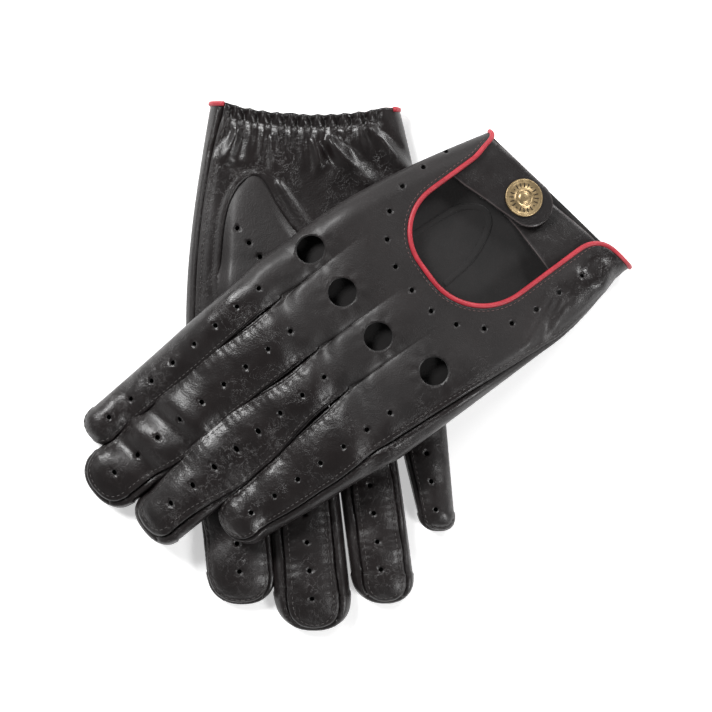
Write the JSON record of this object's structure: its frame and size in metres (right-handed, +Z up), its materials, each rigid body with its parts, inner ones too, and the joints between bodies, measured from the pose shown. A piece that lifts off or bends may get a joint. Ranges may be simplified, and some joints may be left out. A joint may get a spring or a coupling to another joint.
{
  "type": "driving glove pair",
  "caption": "Pair of dark leather driving gloves lying one across the other, with keyhole backs, red piping, knuckle holes and snap straps.",
  "frame": {"origin": "on the table under the middle of the pair", "axes": "+Z up from the table, +Y from the fingertips to the cuff of the lower glove, +X towards the cuff of the upper glove"},
  "size_m": [0.2297, 0.2212, 0.0338],
  "materials": {
    "leather": "semi-gloss dressed nappa with fine grain and creases",
    "suede": "matte flesh side",
    "red_piping": "satin",
    "elastic": "matte woven",
    "antique_brass": "aged satin"
  },
  "bodies": {
    "right_glove": {"right_back_panel": "leather", "right_palm_panel": "leather", "right_fourchette_index": "leather", "right_fourchette_middle": "leather", "right_fourchette_ring": "leather", "right_thumb_front": "leather", "right_thumb_back": "leather", "right_piping": "red_piping", "right_palm_hem": "suede", "right_wrist_elastic": "elastic", "right_strap_root": "leather", "right_tab": "leather", "right_tab_lining": "suede", "right_snap_stud": "antique_brass", "right_snap_washer": "antique_brass"},
    "left_glove": {"left_back_panel": "leather", "left_palm_panel": "leather", "left_fourchette_index": "leather", "left_fourchette_middle": "leather", "left_fourchette_ring": "leather", "left_thumb_front": "leather", "left_thumb_back": "leather", "left_piping": "red_piping", "left_palm_hem": "suede", "left_wrist_elastic": "elastic", "left_strap_root": "leather", "left_tab": "leather", "left_tab_lining": "suede", "left_snap_stud": "antique_brass", "left_snap_washer": "antique_brass"},
    "left_strap": {"left_strap": "leather", "left_strap_lining": "suede", "left_snap_cap": "antique_brass", "left_snap_socket": "antique_brass"},
    "right_strap": {"right_strap": "leather", "right_strap_lining": "suede", "right_snap_cap": "antique_brass", "right_snap_socket": "antique_brass"}
  },
  "joints": [
    {"name": "left_glove_lift", "type": "slide", "parent": "right_glove", "child": "left_glove", "axis": [0, 0, 1], "range_m": [0, 0.08]},
    {"name": "left_strap_bend", "type": "hinge", "parent": "left_glove", "child": "left_strap", "pos_m": [0.05259, 0.08297, 0.0192], "axis": [-0.5949, -0.7762, 0.2091], "range_deg": [0, 90]},
    {"name": "right_strap_bend", "type": "hinge", "parent": "right_glove", "child": "right_strap", "pos_m": [-0.05296, 0.08942, 0.0017], "axis": [-0.279, 0.9603, 0], "range_deg": [0, 90]}
  ]
}
